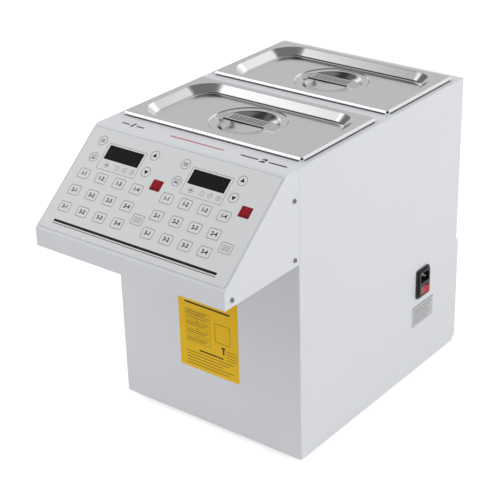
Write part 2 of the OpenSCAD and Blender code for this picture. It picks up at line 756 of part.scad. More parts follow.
// A pan's two hoses: one straight down to the pump, one from the pump to the nozzle by way of
// the front wall.
module hose_pair(i) {
    suction_low = pump_top + 3;
    suction_top = spout_top - pan_t - 3;
    out_y = pan_y[i] - pump_w / 2 - 2;
    color("white") translate([nozzle_x[i], 0, 0]) {
        translate([0, pan_y[i], suction_low]) tube(suction_top - suction_low);
        translate([0, out_y, pump_port_z]) rotate([90, 0, 0]) tube(out_y - riser_y - hose_bend);
        translate([0, riser_y + hose_bend, pump_port_z + hose_bend]) rotate([0, 90, 0])
            mirror([0, 1, 0]) elbow();
        translate([0, riser_y, pump_port_z + hose_bend]) tube(cross_z - pump_port_z - 2 * hose_bend);
        translate([0, riser_y - hose_bend, cross_z - hose_bend]) rotate([0, -90, 0]) elbow();
        translate([0, riser_y - hose_bend, cross_z]) rotate([90, 0, 0])
            tube(riser_y - 2 * hose_bend + nozzle_y);
        translate([0, hose_bend - nozzle_y, cross_z - hose_bend]) rotate([0, -90, 0]) mirror([0, 1, 0])
            elbow();
        translate([0, -nozzle_y, nut_top + PLAY]) tube(cross_z - hose_bend - nut_top - PLAY);
    }
}

module syrup_hoses() {
    at_cabinet() for (i = [0, 1]) hose_pair(i);
}

module nozzles() {
    tip = nozzle_d / 2 - 3;
    top = cross_z - hose_bend - 1;
    color([0.12, 0.12, 0.13]) at_cabinet() for (x = nozzle_x) translate([x, -nozzle_y, 0])
        rotate_extrude() polygon([
            [nozzle_bore / 2, floor_z - nozzle_l], [tip - 1, floor_z - nozzle_l], [tip, floor_z - nozzle_l + 1],
            [tip, floor_z - nozzle_l / 2], [nozzle_d / 2, floor_z - nozzle_l / 3], [nozzle_d / 2, floor_z - 3],
            [nozzle_d / 2 + 4, floor_z - 3], [nozzle_d / 2 + 4, floor_z], [nozzle_d / 2, floor_z],
            [nozzle_d / 2, floor_z + sheet], [nozzle_d / 2 + 4, floor_z + sheet],
            [nozzle_d / 2 + 4, floor_z + sheet + 5], [nozzle_d / 2 - 1, floor_z + sheet + 5],
            [nozzle_d / 2 - 1, nut_top], [barb_d / 2, nut_top],
            [barb_d / 2, top], [nozzle_bore / 2, top]]);
}

module power_inlet() {
    socket = [24.6, 17];
    face = [inlet_w - 6, inlet_h - 6];
    well = [rocker_l + 2 * PLAY + 0.6, rocker_w + 2 * PLAY + 0.6];
    body_in = 30;
    color([0.09, 0.09, 0.1]) at_cabinet() translate([half_w, inlet_y, inlet_z]) rotate([90, 0, 90])
        difference() {
            union() {
                rounded_plate([inlet_w, inlet_h], 4, inlet_out / 2);
                rounded_plate([face[0], face[1]], 3, inlet_out);
                translate([0, 0, -body_in]) linear_extrude(body_in + EPS)
                    square([inlet_w - 8, inlet_h - 8], center = true);
            }
            // Socket: a six-sided well round three pins.
            translate([0, socket_y(), inlet_out - 17]) difference() {
                linear_extrude(18) polygon([[-12.3, -8.5], [12.3, -8.5], [12.3, 4], [8, 8.5], [-8, 8.5],
                    [-12.3, 4]]);
                for (p = [[-7, -2], [0, 2], [7, -2]]) translate([p[0] - 1, p[1] - 2, -1]) cube([2, 4, 14]);
            }
            translate([0, rocker_y(), inlet_out - 13]) linear_extrude(14) square(well, center = true);
            translate([0, rocker_y(), rocker_axis]) rotate([90, 0, 0])
                cylinder(h = well[1] + 2, d = 2.9, center = true);
        }
}

function socket_y() = inlet_h / 2 - 3 - 3 - 8.5;
function rocker_y() = -inlet_h / 2 + 3 + 3.5 + rocker_w / 2;

// The rocker in its off position: its two faces make a shallow V, and it turns on two pins.
module inlet_rocker() {
    r = rocker_l / 2;
    up = rocker_vee + r * tan(rocker_tilt);
    color("red") at_cabinet() translate([half_w, inlet_y, inlet_z]) rotate([90, 0, 90])
        translate([0, rocker_y(), rocker_axis]) rotate([90, 0, 0]) rotate([0, 0, rocker_tilt]) {
            linear_extrude(rocker_w, center = true) intersection() {
                circle(r);
                polygon([[-r, up], [0, rocker_vee], [r, up], [r, -2.5], [3, -7], [-3, -7], [-r, -2.5]]);
            }
            cylinder(h = rocker_w + 1.6, d = 2.4, center = true);
        }
}

module power_supply() {
    feet_h = 4;
    color("lightgray") at_cabinet() translate([0, (pan_y[0] + pan_y[1]) / 2, sheet]) {
        difference() {
            translate([-supply_l / 2, -supply_w / 2, feet_h]) cube([supply_l, supply_w, supply_h]);
            for (row = [-2 : 2], column = [-4 : 4])
                translate([column * 12, row * 12, feet_h + supply_h - 1]) cylinder(h = 2, d = 5);
        }
        for (sx = [-1, 1], sy = [-1, 1])
            translate([sx * (supply_l / 2 - 12), sy * (supply_w / 2 - 12), 0])
                cylinder(h = feet_h + EPS, d = 8);
    }
}

module rubber_feet() {
    color([0.08, 0.08, 0.08]) at_cabinet() for (at = foot_places()) translate([at[0], at[1], -foot_h])
        rotate_extrude() polygon([[screw_d / 2 + PLAY, 4], [screw_d / 2 + PLAY, foot_h],
            [foot_d / 2 - 2.5, foot_h], [foot_d / 2, 1], [foot_d / 2 - 1, 0], [6, 0], [6, 4]]);
}

// A pan-head screw along -z, its head's underside at z = 0, with a cross recess.
module screw(l) {
    difference() {
        union() {
            rotate_extrude() polygon([[0, 0], [screw_head_d / 2, 0], [screw_head_d / 2, 1],
                [screw_head_d / 2 - 1, screw_head_h], [0, screw_head_h]]);
            translate([0, 0, -l]) cylinder(h = l + EPS, d = screw_d);
        }
        for (turn = [0, 90]) rotate([0, 0, turn]) translate([0, 0, screw_head_h])
            cube([4, 0.9, 2], center = true);
    }
}

module screws() {
    color("silver") at_cabinet() {
        for (at = hood_screws, side = [-1, 1]) translate([side * half_w, at[0], at[1]])
            rotate([0, side * 90, 0]) screw(screw_l);
        for (at = rear_screws())
            translate([at[0], cabinet_d + (at[1] < cover_h ? sheet : 0), at[1]])
                rotate([-90, 0, 0]) screw(screw_l);
        for (at = foot_places()) translate([at[0], at[1], 4 - foot_h]) rotate([180, 0, 0])
            screw(foot_h + 2);
    }
}

function key_node(side, i) = str(sides[side], "_key_", key_names[i]);

cabinet_shell();
top_deck();
base_tray();
back_panel();
service_cover();
hood_shell();
hood_floor();
control_overlay();
display_windows();
control_boards();
front_pan();
rear_pan();
front_lid();
rear_lid();
front_lid_handle();
rear_lid_handle();
pump_units();
syrup_hoses();
nozzles();
power_inlet();
inlet_rocker();
power_supply();
rubber_feet();
screws();
for (side = [0, 1], i = [0 : len(key_names) - 1])
    panel_key(side, i);
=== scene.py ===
"""Dresses the twin syrup dispenser: sheet-metal cabinet, steel lids, printed keypads and labels.

Metres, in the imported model's frame: X to the right, Y to the back, Z up from the counter.
"""

import math

import bmesh
import bpy
from mathutils import Matrix, Vector


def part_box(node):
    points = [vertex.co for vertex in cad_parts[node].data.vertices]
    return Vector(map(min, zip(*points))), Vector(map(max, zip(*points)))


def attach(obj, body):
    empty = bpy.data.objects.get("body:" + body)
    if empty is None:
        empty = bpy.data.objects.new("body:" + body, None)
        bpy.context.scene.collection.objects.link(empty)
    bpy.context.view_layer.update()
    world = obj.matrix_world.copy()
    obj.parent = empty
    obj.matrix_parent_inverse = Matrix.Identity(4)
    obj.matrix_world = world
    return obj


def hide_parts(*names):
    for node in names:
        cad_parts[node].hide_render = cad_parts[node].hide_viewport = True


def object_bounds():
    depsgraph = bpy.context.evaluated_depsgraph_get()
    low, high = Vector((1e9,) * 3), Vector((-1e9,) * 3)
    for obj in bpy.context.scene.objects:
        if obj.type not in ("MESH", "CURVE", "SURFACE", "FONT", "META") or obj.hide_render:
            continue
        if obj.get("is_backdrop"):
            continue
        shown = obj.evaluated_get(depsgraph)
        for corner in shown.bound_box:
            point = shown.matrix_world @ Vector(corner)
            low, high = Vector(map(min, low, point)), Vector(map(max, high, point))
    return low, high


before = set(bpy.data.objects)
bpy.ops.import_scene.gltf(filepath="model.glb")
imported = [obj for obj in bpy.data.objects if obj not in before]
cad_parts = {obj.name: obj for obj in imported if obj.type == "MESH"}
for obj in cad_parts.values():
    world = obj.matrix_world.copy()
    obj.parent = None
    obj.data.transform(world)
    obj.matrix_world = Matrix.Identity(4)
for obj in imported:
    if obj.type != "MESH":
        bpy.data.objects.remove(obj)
CAD_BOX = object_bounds()

bl_info = {
    "name": "Syrup dispenser dressing",
    "version": (1, 0, 0),
    "blender": (4, 5, 0),
    "location": "View3D > Sidebar > Dispenser",
    "description": "Finishes the packed twin syrup dispenser and sets its studio",
    "category": "Object",
}

MM = 0.001
SIDES = ("left", "right")
GRID_KEYS = [f"{row}{column}" for row in (1, 2, 3) for column in (1, 2, 3, 4)]
ROUND_KEYS = ["set", "save", "up", "down"]
ALL_KEYS = GRID_KEYS + ROUND_KEYS + ["power", "auto"]

CABINET_LOW, CABINET_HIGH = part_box("cabinet_shell")
CABINET_MIDDLE_X = (CABINET_LOW.x + CABINET_HIGH.x) / 2
DECK_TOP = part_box("top_deck")[1].z
STRIP_DEPTH = 25 * MM
OVERLAY_SHEET = 1.0 * MM

# How finely a noise is drawn out along and across rolled steel.
GRAIN_ALONG, GRAIN_ACROSS = 18.0, 2200.0

# Places on a keypad from its first key's centre, in mm: across and up the slope.
DISPLAY_FRAME = (49.6, 34.4)
DIGITS = (49.4, 41.5)
LAMPS_ACROSS, LAMPS_UP = (29.2, 49.2, 63.2, 77.0), 21.6
DIGIT_PITCH, DIGIT_HALF_W, DIGIT_HALF_H = 14.2, 3.9, 7.0

PRINT = 0.04 * MM
STICKER = 0.12 * MM
PLATE = 0.3 * MM


def hood_slope():
    """Angle of the keypad face above the horizontal, from the overlay's own box."""
    low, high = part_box("control_overlay")
    rise, run = high.z - low.z, high.y - low.y
    angle = math.atan2(rise, run)
    for _ in range(6):
        angle = math.atan2(rise - OVERLAY_SHEET * math.cos(angle),
                           run - OVERLAY_SHEET * math.sin(angle))
    return angle


FACE_ANGLE = hood_slope()
# Keypad face axes: x across, y up the slope from the upper fold, z out of the steel.
FACE = (Matrix.Translation((CABINET_MIDDLE_X, CABINET_LOW.y - STRIP_DEPTH, DECK_TOP))
        @ Matrix.Rotation(FACE_ANGLE, 4, "X"))


def face_box(node):
    """Lowest and highest corner of a node in the keypad face's axes."""
    corners = [FACE.inverted() @ v.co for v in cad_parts[node].data.vertices]
    low = Vector([min(c[i] for c in corners) for i in range(3)])
    high = Vector([max(c[i] for c in corners) for i in range(3)])
    return low, high


def face_centre(node):
    """Centre of a node across and up the keypad face."""
    low, high = face_box(node)
    return (low.x + high.x) / 2, (low.y + high.y) / 2


# ---------------------------------------------------------------- shader maths


class Socket:
    """An output of a shader node that Python's operators work on."""

    def __init__(self, finish, output):
        self.finish = finish
        self.output = output

    def math(self, operation, *others):
        return self.finish.node("ShaderNodeMath", {"operation": operation}, self, *others)

    def __add__(self, other):
        return self.math("ADD", other)

    def __sub__(self, other):
        return self.math("SUBTRACT", other)

    def __rsub__(self, other):
        return self.finish.node("ShaderNodeMath", {"operation": "SUBTRACT"}, other, self)

    def __mul__(self, other):
        return self.math("MULTIPLY", other)

    def __lt__(self, other):
        return self.math("LESS_THAN", other)

    def __gt__(self, other):
        return self.math("GREATER_THAN", other)

    def __abs__(self):
        return self.math("ABSOLUTE")

    def __getitem__(self, name):
        return Socket(self.finish, self.output.node.outputs[name])


class Finish:
    """A procedural material under construction, on one Principled shader."""

    def __init__(self, name, roughness=0.5, metallic=0.0, **constants):
        self.material = bpy.data.materials.new(name)
        self.material.use_nodes = True
        self.tree = self.material.node_tree
        self.shader = self.tree.nodes["Principled BSDF"]
        self.shader.inputs["Roughness"].default_value = roughness
        self.shader.inputs["Metallic"].default_value = metallic
        for socket, value in constants.items():
            self.shader.inputs[socket.replace("_", " ")].default_value = value
        self.place = self.node("ShaderNodeTexCoord")["Object"]

    def node(self, kind, settings=None, *values, **named):
        """Adds a node: its settings first, then its sockets by order or by name."""
        made = self.tree.nodes.new(kind)
        for key, value in (settings or {}).items():
            setattr(made, key, value)
        targets = list(zip(made.inputs, values)) + [(made.inputs[key.replace("_", " ")], value)
                                                    for key, value in named.items()]
        for socket, value in targets:
            self.feed(socket, value)
        return Socket(self, made.outputs[0])

    def feed(self, socket, value):
        if isinstance(value, Socket):
            self.tree.links.new(value.output, socket)
        else:
            socket.default_value = value

    def set(self, **sockets):
        """Feeds the shader's own sockets."""
        for name, value in sockets.items():
            self.feed(self.shader.inputs[name.replace("_", " ")], value)
        return self

    def noise(self, scale, detail=2.0, place=None, roughness=0.5):
        return self.node("ShaderNodeTexNoise", None, Vector=place or self.place, Scale=scale,
                         Detail=detail, Roughness=roughness)

    def grain(self, axis=0):
        """Fine lines that rolling leaves along one axis of a sheet."""
        stretch = [GRAIN_ACROSS] * 3
        stretch[axis] = GRAIN_ALONG
        return self.noise(1.0, 3.0, self.node("ShaderNodeMapping", None, self.place, Scale=stretch),
                          0.6)["Fac"]

    def axes(self):
        parts = self.node("ShaderNodeSeparateXYZ", None, self.place)
        return parts["X"], parts["Y"], parts["Z"]

    def mix(self, factor, first, second):
        """A colour between two colours."""
        made = self.tree.nodes.new("ShaderNodeMix")
        made.data_type = "RGBA"
        for index, value in ((0, factor), (6, first), (7, second)):
            self.feed(made.inputs[index], value)
        return Socket(self, made.outputs[2])

    def bump(self, height, distance, strength):
        self.set(Normal=self.node("ShaderNodeBump", None, Strength=strength, Distance=distance,
                                  Height=height))
        return self


def shade(colour, factor):
    """A colour made lighter or darker, with full alpha."""
    return (*[c * factor for c in colour[:3]], 1.0)


def powder_coat(name, colour):
    """Satin powder coat: fine orange peel and a faint cloudiness in tone."""
    f = Finish(name, roughness=0.42, Specular_IOR_Level=0.45)
    cloud = f.noise(9.0, 3.0)["Fac"]
    f.set(Base_Color=f.mix(cloud, shade(colour, 0.985), shade(colour, 1.01)),
          Roughness=f.noise(700.0, 2.0)["Fac"] * 0.08 + 0.37)
    return f.bump(f.noise(1400.0, 2.0)["Fac"], 0.00004, 0.35).material


def satin_steel(name, colour, grain_axis, roughness):
    """Stainless sheet with a fine rolled grain along one axis."""
    f = Finish(name, metallic=1.0)
    grain = f.grain(grain_axis)
    smudge = f.noise(14.0, 4.0)["Fac"]
    f.set(Base_Color=f.mix(grain, shade(colour, 0.975), shade(colour, 1.02)),
          Roughness=grain * 0.05 + smudge * 0.05 + (roughness - 0.05))
    return f.bump(grain, 0.000006, 0.3).material


def pan_steel(pan, colour):
    """The pan's drawn steel; the flange's edge under the lid's lip is dull, and painted near-black as
    shade.
    """
    f = Finish(f"{pan}_steel", metallic=1.0)
    x, y, z = f.axes()
    low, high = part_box(pan)
    x, y = abs(x - (low.x + high.x) / 2), abs(y - (low.y + high.y) / 2)
    rim = 0.6 * MM
    # Painted shade: the flange's outer edge, in the gap under the lid's lip, is coloured near-black.
    edge = ((x > (high.x - low.x) / 2 - rim) + (y > (high.y - low.y) / 2 - rim)) * (
        z < high.z - rim / 2)
    grain = f.grain()
    steel = f.mix(grain, shade(colour, 0.96), shade(colour, 1.02))
    f.set(Base_Color=f.mix(edge, steel, (0.11, 0.11, 0.115, 1)),
          Roughness=grain * 0.08 + edge * 0.2 + 0.26)
    return f.material


def strap_steel(strap, colour):
    """The strap's steel, with painted shade in its grooves and a painted dark reflection on its
    turned edges.
    """
    f = Finish(f"{strap}_steel", metallic=1.0)
    x, y, z = f.axes()
    low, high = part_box(strap)
    half_w, groove = (high.y - low.y) / 2, (high.y - low.y) / 5.5
    x, y = abs(x - (low.x + high.x) / 2), y - (low.y + high.y) / 2
    lines = None
    for i in range(4):
        line = abs(y - (i - 1.5) * groove) < 1.0 * MM
        lines = line if lines is None else lines + line
    # Painted shade in the grooves, and a painted dark reflection of the bowl's shade along the turned
    # edges.
    dark = lines * (x < 32 * MM) + (abs(y) > half_w - 0.8 * MM) * (x < 37 * MM)
    grain = f.grain()
    steel = f.mix(grain, shade(colour, 0.96), shade(colour, 1.03))
    f.set(Base_Color=f.mix(dark, steel, (0.05, 0.048, 0.045, 1)),
          Roughness=grain * 0.08 + dark * 0.15 + 0.16)
    return f.material


def galvanised(name):
    """Zinc-coated sheet with a faint flake."""
    f = Finish(name, metallic=0.9)
    flake = f.node("ShaderNodeTexVoronoi", {"feature": "F1"}, Vector=f.place, Scale=90.0)["Color"]
    tone = f.node("ShaderNodeRGBToBW", None, flake)
    f.set(Base_Color=f.mix(tone, (0.46, 0.48, 0.50, 1), (0.68, 0.69, 0.70, 1)),
          Roughness=tone * 0.2 + 0.35)
    return f.material


def moulded_plastic(name, colour, roughness=0.45, grain=1600.0):
    """Injection-moulded plastic with a fine spark-eroded texture."""
    f = Finish(name)
    texture = f.noise(grain, 3.0)["Fac"]
    f.set(Base_Color=f.mix(texture, shade(colour, 0.9), shade(colour, 1.1)),
          Roughness=texture * 0.12 + (roughness - 0.06))
    return f.bump(texture, 0.00003, 0.5).material


def printed_film(name, colour, roughness=0.33, sheen=0.5):
    """Polyester film printed on its back: a fine velvet texture under a soft sheen."""
    f = Finish(name, Specular_IOR_Level=sheen)
    velvet = f.noise(2600.0, 2.0)["Fac"]
    cloud = f.noise(12.0, 2.0)["Fac"]
    f.set(Base_Color=f.mix(cloud, shade(colour, 0.985), shade(colour, 1.012)),
          Roughness=velvet * 0.10 + (roughness - 0.05))
    return f.bump(velvet, 0.00002, 0.3).material


def ink(name, colour, roughness=0.4):
    """Screen-printed ink, slightly uneven in cover."""
    f = Finish(name, Specular_IOR_Level=0.15)
    cover = f.noise(900.0, 3.0)["Fac"]
    f.set(Base_Color=f.mix(cover, shade(colour, 0.85), shade(colour, 1.2)),
          Roughness=cover * 0.1 + (roughness - 0.05))
    return f.material


def smoked_window(name):
    """The displays' nearly black glossy window."""
    f = Finish(name, Specular_IOR_Level=0.1)
    haze = f.noise(40.0, 3.0)["Fac"]
    f.set(Base_Color=f.mix(haze, (0.002, 0.002, 0.0025, 1), (0.004, 0.0035, 0.004, 1)),
          Roughness=haze * 0.08 + 0.2)
    return f.material


def clear_red(name, colour):
    """The rocker's tinted clear plastic."""
    f = Finish(name, Transmission_Weight=0.25, Coat_Weight=0.4, Coat_Roughness=0.1)
    depth = f.noise(220.0, 2.0)["Fac"]
    f.set(Base_Color=f.mix(depth, shade(colour, 0.8), shade(colour, 1.15)),
          Roughness=depth * 0.1 + 0.18)
    return f.material


def silicone(name):
    """Milky hose silicone that lets some light in."""
    f = Finish(name, Subsurface_Weight=0.3, Subsurface_Scale=0.002)
    milk = f.noise(60.0, 2.0)["Fac"]
    f.set(Base_Color=f.mix(milk, (0.72, 0.72, 0.69, 1), (0.84, 0.84, 0.81, 1)),
          Roughness=milk * 0.1 + 0.35)
    return f.material


def inlet_body(name):
    """Black moulding whose three blades in the socket well are plated metal."""
    f = Finish(name)
    x, y, z = f.axes()
    low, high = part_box("power_inlet")
    middle_y = (low.y + high.y) / 2
    socket_z = (low.z + high.z) / 2 + 10.5 * MM
    blade = None
    for offset, rise in ((-7, -2), (0, 2), (7, -2)):
        inside = (abs(y - (middle_y + offset * MM)) < 1.2 * MM) * (
            abs(z - (socket_z + rise * MM)) < 2.2 * MM) * (
            x < high.x - 2.5 * MM) * (x > high.x - 17.5 * MM)
        blade = inside if blade is None else blade + inside
    texture = f.noise(1500.0, 3.0)["Fac"]
    black = f.mix(texture, (0.012, 0.012, 0.013, 1), (0.022, 0.022, 0.023, 1))
    f.set(Base_Color=f.mix(blade, black, (0.78, 0.77, 0.74, 1)),
          Metallic=blade, Roughness=texture * 0.12 + 0.3 - blade * 0.1)
    return f.bump(texture, 0.00003, 0.4).material


def dress(material, *nodes):
    """Gives carried-over CAD nodes a material."""
    for node in nodes:
        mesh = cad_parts[node].data
        mesh.materials.clear()
        mesh.materials.append(material)


# ---------------------------------------------------------------- mesh helpers


def facing_up(name, bm, material, body, smooth_angle):
    """Makes an object of a sheet's upper face and lets it ride on a body."""
    bmesh.ops.remove_doubles(bm, verts=bm.verts, dist=1e-6)
    bmesh.ops.recalc_face_normals(bm, faces=bm.faces)
    if sum(f.normal.z * f.calc_area() for f in bm.faces) < 0:
        bmesh.ops.reverse_faces(bm, faces=bm.faces)
    mesh = bpy.data.meshes.new(name)
    bm.to_mesh(mesh)
    bm.free()
    return placed(name, mesh, material, body, smooth_angle)


def placed(name, mesh, material, body, smooth_angle=35.0):
    """Makes an object of a mesh, shades it and lets it ride on a body."""
    mesh.materials.clear()
    mesh.materials.append(material)
    mesh.polygons.foreach_set("use_smooth", [True] * len(mesh.polygons))
    mesh.set_sharp_from_angle(angle=math.radians(smooth_angle))
    piece = bpy.data.objects.new(name, mesh)
    bpy.context.scene.collection.objects.link(piece)
    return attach(piece, body)


def softened(node, material, body, width, segments=2):
    """A copy of a CAD node with its edges rounded, which stands for the node."""
    bm = bmesh.new()
    bm.from_mesh(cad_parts[node].data)
    bmesh.ops.remove_doubles(bm, verts=bm.verts, dist=2e-6)
    bmesh.ops.dissolve_limit(bm, angle_limit=math.radians(0.5), verts=bm.verts, edges=bm.edges)
    mesh = bpy.data.meshes.new(f"{node}_soft")
    bm.to_mesh(mesh)
    bm.free()
    piece = placed(f"{node}_soft", mesh, material, body)
    bevel = piece.modifiers.new("edges", "BEVEL")
    bevel.width = width
    bevel.segments = segments
    bevel.limit_method = "ANGLE"
    bevel.angle_limit = math.radians(40)
    bevel.harden_normals = True
    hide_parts(node)
    return piece


def new_edges(bm, before):
    return [e for e in bm.edges if e not in before]


def rounded_loop(bm, half, radius, height, steps):
    """Edges of a rounded rectangle of half sizes at a height, with no face."""
    before = set(bm.edges)
    made = bmesh.ops.create_grid(bm, x_segments=1, y_segments=1, size=1.0)["verts"]
    bmesh.ops.scale(bm, vec=(half[0], half[1], 1), verts=made)
    bmesh.ops.translate(bm, vec=(0, 0, height), verts=made)
    if radius > 0:
        bmesh.ops.bevel(bm, geom=made, offset=radius, offset_type="OFFSET", affect="VERTICES",
                        segments=steps, profile=0.5, material=-1)
    edges = new_edges(bm, before)
    faces = {face for e in edges for face in e.link_faces}
    bmesh.ops.delete(bm, geom=list(faces), context="FACES_ONLY")
    return edges


def circle_loop(bm, radius, count):
    """Edges of a regular polygon that stands for a circle, with no face."""
    before = set(bm.edges)
    made = bmesh.ops.create_circle(bm, cap_ends=False, segments=count, radius=radius)["verts"]
    bmesh.ops.transform(bm, matrix=Matrix.Rotation(math.pi / count, 4, "Z"), verts=made)
    return new_edges(bm, before)


def skin(bm, loops):
    """Bridges each loop to the next, a thousand times larger, where close loops are told apart."""
    bmesh.ops.scale(bm, vec=(1000, 1000, 1000), verts=bm.verts)
    for first, second in zip(loops, loops[1:]):
        bmesh.ops.bridge_loops(bm, edges=first + second)
    bmesh.ops.scale(bm, vec=(0.001, 0.001, 0.001), verts=bm.verts)


def frame_line(bm, half, radius, line, at=(0, 0)):
    """A closed printed line round a rounded rectangle."""
    start, steps = set(bm.verts), 5
    outer = rounded_loop(bm, half, radius, 0.0, steps)
    inner = rounded_loop(bm, (half[0] - line, half[1] - line), max(radius - line, 0.05 * MM), 0.0,
                         steps)
    skin(bm, [outer, inner])
    bmesh.ops.translate(bm, vec=(at[0], at[1], 0), verts=[v for v in bm.verts if v not in start])


def ring_line(bm, radius, line, at=(0, 0), count=32):
    """A closed printed line round a circle."""
    start = set(bm.verts)
    skin(bm, [circle_loop(bm, radius, count), circle_loop(bm, radius - line, count)])
    bmesh.ops.translate(bm, vec=(at[0], at[1], 0), verts=[v for v in bm.verts if v not in start])


def turned(at, turn):
    """Turns a flat print about Z, then moves it to its place."""
    return Matrix.Translation((at[0], at[1], 0)) @ Matrix.Rotation(turn, 4, "Z")


def patch(bm, half, radius=0.0, at=(0, 0), turn=0.0, steps=4):
    """A filled rounded rectangle."""
    start = set(bm.verts)
    edges = rounded_loop(bm, half, radius, 0.0, steps)
    bmesh.ops.contextual_create(bm, geom=edges)
    bmesh.ops.transform(bm, matrix=turned(at, turn), verts=[v for v in bm.verts if v not in start])


def polygon_patch(bm, radius, sides, at=(0, 0), turn=0.0):
    """A filled regular polygon, such as an arrow's triangle or a dot."""
    made = bmesh.ops.create_circle(bm, cap_ends=True, segments=sides, radius=radius)["verts"]
    bmesh.ops.transform(bm, matrix=turned(at, turn), verts=made)


def lettering(bm, text, size, at, squeeze, bold):
    """Adds a line of plain numerals, centred on a point, drawn out in width and thickened."""
    curve = bpy.data.curves.new("numerals", "FONT")
    curve.body = text
    curve.size = size
    curve.align_x, curve.align_y = "CENTER", "CENTER"
    curve.resolution_u = 3
    curve.offset = bold
    source = bpy.data.objects.new("numerals", curve)
    bpy.context.scene.collection.objects.link(source)
    bpy.context.view_layer.update()
    evaluated = source.evaluated_get(bpy.context.evaluated_depsgraph_get())
    mesh = bpy.data.meshes.new_from_object(evaluated)
    bpy.data.objects.remove(source)
    mesh.transform(Matrix.Translation((at[0], at[1], 0)) @ Matrix.Diagonal((squeeze, 1, 1, 1)))
    bm.from_mesh(mesh)
    bpy.data.meshes.remove(mesh)


def printed(name, bm, place, material, body, thickness=PRINT):
    """Turns flat print into a thin raised layer of ink and puts it in its place."""
    bmesh.ops.remove_doubles(bm, verts=bm.verts, dist=1e-6)
    for face in bm.faces:
        if face.normal.z < 0:
            face.normal_flip()
    made = bmesh.ops.extrude_face_region(bm, geom=bm.faces[:], use_keep_orig=True)
    raised = [v for v in made["geom"] if isinstance(v, bmesh.types.BMVert)]
    bmesh.ops.translate(bm, vec=(0, 0, thickness), verts=raised)
    bmesh.ops.recalc_face_normals(bm, faces=bm.faces)
    mesh = bpy.data.meshes.new(name)
    bm.to_mesh(mesh)
    bm.free()
    mesh.transform(place)
    return placed(name, mesh, material, body)


# ---------------------------------------------------------------- settings


def colour_property(name, default, description):
    return bpy.props.FloatVectorProperty(name=name, description=description, default=default, size=3,
                                         min=0.0, max=1.0, subtype="COLOR")


def length_property(name, default_mm, description):
    return bpy.props.FloatProperty(name=name, description=description, default=default_mm * MM,
                                   min=0.0, unit="LENGTH", precision=5)


def angle_property(name, default_degrees, description):
    return bpy.props.FloatProperty(name=name, description=description,
                                   default=math.radians(default_degrees), subtype="ANGLE")


def number_property(name, default, description, **limits):
    return bpy.props.FloatProperty(name=name, description=description, default=default,
                                   **{"min": 0.0, **limits})


class CabinetSettings(bpy.types.PropertyGroup):
    powder: colour_property("Powder coat", (0.80, 0.815, 0.85), "Colour of the coated sheet")
    edge: length_property("Edge rounding", 0.35, "Radius on the cut edges of the sheet")


class LidSettings(bpy.types.PropertyGroup):
    steel: colour_property("Steel", (0.865, 0.87, 0.88), "Colour of the stainless steel")
    sheet: length_property("Sheet", 0.8, "Thickness of a lid")
    lip: length_property("Lip", 3.5, "Height of the down-turned edge")
    rim_radius: length_property("Rim radius", 3.0, "Radius of a lid's outer edge")
    edge_radius: length_property("Edge radius", 1.4, "Radius of the recess's top edge")
    notch: length_property("Notch", 4.5, "Radius of the cut in the lip at each corner")
    corner_radius: length_property("Corner radius", 4.0, "Radius of a lid's corners, seen from above")
    side_rim: length_property("Side rim", 14.0, "Flat rim at the short sides")
    long_rim: length_property("Long rim", 11.5, "Flat rim at the long sides")
    recess_radius: length_property("Recess radius", 43.5, "Corner radius of the recess")
    recess_depth: length_property("Recess depth", 11.5, "Depth of the recess")
    wall_run: length_property("Wall run", 17.0, "Width of the recess's wall with its fillet")
    foot_radius: length_property("Foot radius", 8.0, "Radius of the fillet at the foot of that wall")
    ring: length_property("Ring", 59.0, "Radius of the round step")
    ring_step: length_property("Ring step", 1.4, "Depth of the round step")
    bowl: length_property("Bowl", 47.5, "Radius of the hand bowl")
    bowl_depth: length_property("Bowl depth", 13.0, "Depth of the hand bowl")


class KeypadSettings(bpy.types.PropertyGroup):
    film: colour_property("Film", (0.775, 0.785, 0.80), "Colour of the printed overlay")
    cap: colour_property("Caps", (0.80, 0.81, 0.825), "Colour of the keys")
    power: colour_property("Power key", (0.30, 0.008, 0.015), "Colour of the power key")
    outline: colour_property("Outlines", (0.20, 0.21, 0.23), "Colour of the printed outlines")
    line: length_property("Line", 0.7, "Width of the printed outlines")
    numeral: length_property("Numeral height", 8.6, "Size of the key numerals")


class LabelSettings(bpy.types.PropertyGroup):
    yellow: colour_property("Yellow label", (0.93, 0.57, 0.016), "Colour of the front label")
    foil: colour_property("Plate", (0.62, 0.63, 0.64), "Colour of the side plate")


class StageSettings(bpy.types.PropertyGroup):
    camera_place: bpy.props.FloatVectorProperty(
        name="Camera place", description="Where the camera stands", size=3, subtype="TRANSLATION",
        default=(1.18372, -1.53540, 1.20962))
    azimuth: angle_property("Azimuth", 38.2820, "Turn of the view round the object")
    elevation: angle_property("Elevation", 26.2922, "Height of the view")
    roll: angle_property("Roll", -1.5509, "Lean of the picture")
    lens: number_property("Lens", 101.70, "Focal length on a 36 mm sensor, in mm", min=10.0)
    world: number_property("World", 0.87, "Strength of the surrounding white")
    wall: number_property("Wall", 0.36, "How much darker the white is behind the object", max=1.0)
    boxes: number_property("Boxes", 0.42, "How much brighter the two softboxes are")
    ceiling: number_property("Ceiling", 0.8, "How much darker the white is overhead", max=1.0)
    overhead: number_property("Overhead", 9.0, "Power of the large lamp above, in watts")
    side: number_property("Side", 21.0, "Power of the lamp at the right, in watts")
    front: number_property("Front", 7.5, "Power of the lamp at the front, in watts")


# ---------------------------------------------------------------- operators


